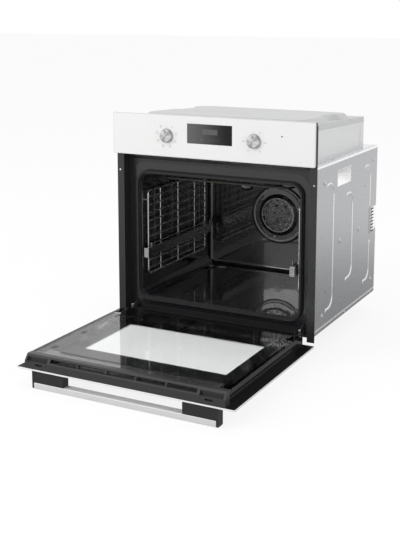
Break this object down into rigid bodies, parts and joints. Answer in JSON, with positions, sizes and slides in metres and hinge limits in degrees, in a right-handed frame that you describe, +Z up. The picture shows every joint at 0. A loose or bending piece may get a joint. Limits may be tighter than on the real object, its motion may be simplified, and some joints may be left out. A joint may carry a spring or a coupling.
{
  "type": "built-in wall oven",
  "caption": "Built-in electric wall oven with a white glass front, drop-down door lying open, retractable knobs, display, side racks and pull-out rails.",
  "frame": {"origin": "middle of the carcass underside, in the plane of the cabinet's front face", "axes": "+X to the oven's right as seen from the front, +Y into the cabinet, +Z up; the door lies open towards -Y"},
  "size_m": [0.595, 1.027, 0.637],
  "materials": {
    "white_glass": "gloss, back-painted",
    "clear_glass": "gloss",
    "lamp_glass": "gloss",
    "black_paint": "semi-gloss",
    "enamel": "gloss enamel",
    "galvanised": "galvanised, satin",
    "light_sheet": "satin",
    "bright_steel": "satin",
    "rail_steel": "satin",
    "chrome_wire": "bright",
    "knob_steel": "radially brushed",
    "handle_steel": "satin",
    "spring_steel": "oiled",
    "black_plastic": "satin",
    "white_plastic": "matt",
    "display": "gloss",
    "lens": "gloss",
    "switch_resin": "matt",
    "seal": "matt",
    "heater": "oxidised",
    "wool": "mineral wool",
    "motor": "laminated steel"
  },
  "bodies": {
    "oven": {"front_frame": "black_paint", "air_deflector": "black_paint", "cavity_rim": "enamel", "cavity_liner": "enamel", "cavity_rear": "enamel", "door_seal": "seal", "side_panel_left": "galvanised", "side_panel_right": "galvanised", "rear_panel": "galvanised", "base_panel": "galvanised", "deck_plate": "galvanised", "upper_housing": "light_sheet", "top_cover": "light_sheet", "control_glass": "white_glass", "control_housing": "black_plastic", "display_module": "display", "indicator_lens": "lens", "function_switch": "switch_resin", "thermostat": "switch_resin", "knob_bezels": "bright_steel", "lamp_housing": "bright_steel", "lamp_glass": "lamp_glass", "grill_element": "heater", "bottom_element": "heater", "ring_element": "heater", "fan_cover": "enamel", "fan_motor": "motor", "side_rack_left": "chrome_wire", "side_rack_right": "chrome_wire", "fixed_rails": "bright_steel", "insulation": "wool", "blower_housing": "galvanised", "blower_motor": "motor", "terminal_block": "switch_resin", "hinge_receptacles": "galvanised", "hinge_arms": "bright_steel", "fasteners": "bright_steel"},
    "door": {"door_glass_outer": "white_glass", "door_glass_middle": "clear_glass", "door_glass_inner": "clear_glass", "door_profile_left": "black_paint", "door_profile_right": "black_paint", "door_top_trim": "black_plastic", "door_bottom_profile": "black_paint", "door_baffle": "bright_steel", "pane_spacers": "black_plastic", "handle_bar": "handle_steel", "handle_brackets": "black_plastic", "hinge_cassettes": "galvanised", "hinge_springs": "spring_steel"},
    "knob_sleeve_left": {"knob_sleeve_left": "white_plastic"},
    "knob_sleeve_right": {"knob_sleeve_right": "white_plastic"},
    "knob_left": {"knob_left": "knob_steel"},
    "knob_right": {"knob_right": "knob_steel"},
    "convection_fan": {"convection_fan": "bright_steel"},
    "blower_impeller": {"blower_impeller": "galvanised"},
    "rail_slider_left": {"rail_slider_left": "rail_steel"},
    "rail_slider_right": {"rail_slider_right": "rail_steel"},
    "hinge_lock_left": {"hinge_lock_left": "bright_steel"},
    "hinge_lock_right": {"hinge_lock_right": "bright_steel"}
  },
  "joints": [
    {"name": "door_hinge", "type": "hinge", "parent": "oven", "child": "door", "pos_m": [0, -0.0105, -0.0045], "axis": [1, 0, 0], "range_deg": [-90, 0]},
    {"name": "knob_push_left", "type": "slide", "parent": "oven", "child": "knob_sleeve_left", "axis": [0, -1, 0], "range_m": [0, 0.014]},
    {"name": "knob_push_right", "type": "slide", "parent": "oven", "child": "knob_sleeve_right", "axis": [0, -1, 0], "range_m": [0, 0.014]},
    {"name": "knob_turn_left", "type": "hinge", "parent": "knob_sleeve_left", "child": "knob_left", "pos_m": [-0.129, -0.02, 0.52], "axis": [0, 1, 0], "continuous": true},
    {"name": "knob_turn_right", "type": "hinge", "parent": "knob_sleeve_right", "child": "knob_right", "pos_m": [0.129, -0.02, 0.52], "axis": [0, 1, 0], "range_deg": [0, 270]},
    {"name": "convection_fan_spin", "type": "hinge", "parent": "oven", "child": "convection_fan", "pos_m": [0, 0.471, 0.229], "axis": [0, -1, 0], "continuous": true},
    {"name": "blower_spin", "type": "hinge", "parent": "oven", "child": "blower_impeller", "pos_m": [0, 0.33, 0.501], "axis": [1, 0, 0], "continuous": true},
    {"name": "rail_left_slide", "type": "slide", "parent": "oven", "child": "rail_slider_left", "axis": [0, -1, 0], "range_m": [0, 0.24]},
    {"name": "rail_right_slide", "type": "slide", "parent": "oven", "child": "rail_slider_right", "axis": [0, -1, 0], "range_m": [0, 0.24]},
    {"name": "hinge_lock_left_flip", "type": "hinge", "parent": "oven", "child": "hinge_lock_left", "pos_m": [-0.255, 0.016, 0.022], "axis": [-1, 0, 0], "range_deg": [0, 90]},
    {"name": "hinge_lock_right_flip", "type": "hinge", "parent": "oven", "child": "hinge_lock_right", "pos_m": [0.255, 0.016, 0.022], "axis": [-1, 0, 0], "range_deg": [0, 90]}
  ]
}
